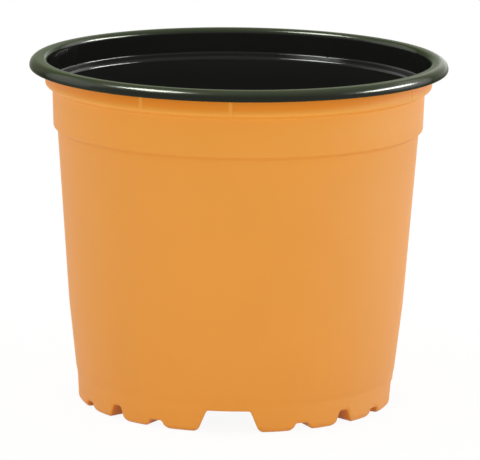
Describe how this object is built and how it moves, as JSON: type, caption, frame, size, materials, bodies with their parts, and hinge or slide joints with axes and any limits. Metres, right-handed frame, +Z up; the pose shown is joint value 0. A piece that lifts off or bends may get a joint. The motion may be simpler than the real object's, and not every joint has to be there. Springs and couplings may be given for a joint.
{
  "type": "nursery pot",
  "caption": "Round tapered plant pot formed from thin two-colour plastic sheet, with a rolled rim, a stacking collar, a notched foot ring and drain holes in the base.",
  "frame": {"origin": "middle of the plane that the foot ring stands on", "axes": "+Z up along the pot's axis; a large foot notch faces -Y, which is the front"},
  "size_m": [0.15, 0.15, 0.1243],
  "materials": {
    "terracotta_sheet": "satin terracotta outside, with a glossy black inside and bead"
  },
  "bodies": {
    "root": {"pot": "terracotta_sheet"}
  },
  "joints": []
}
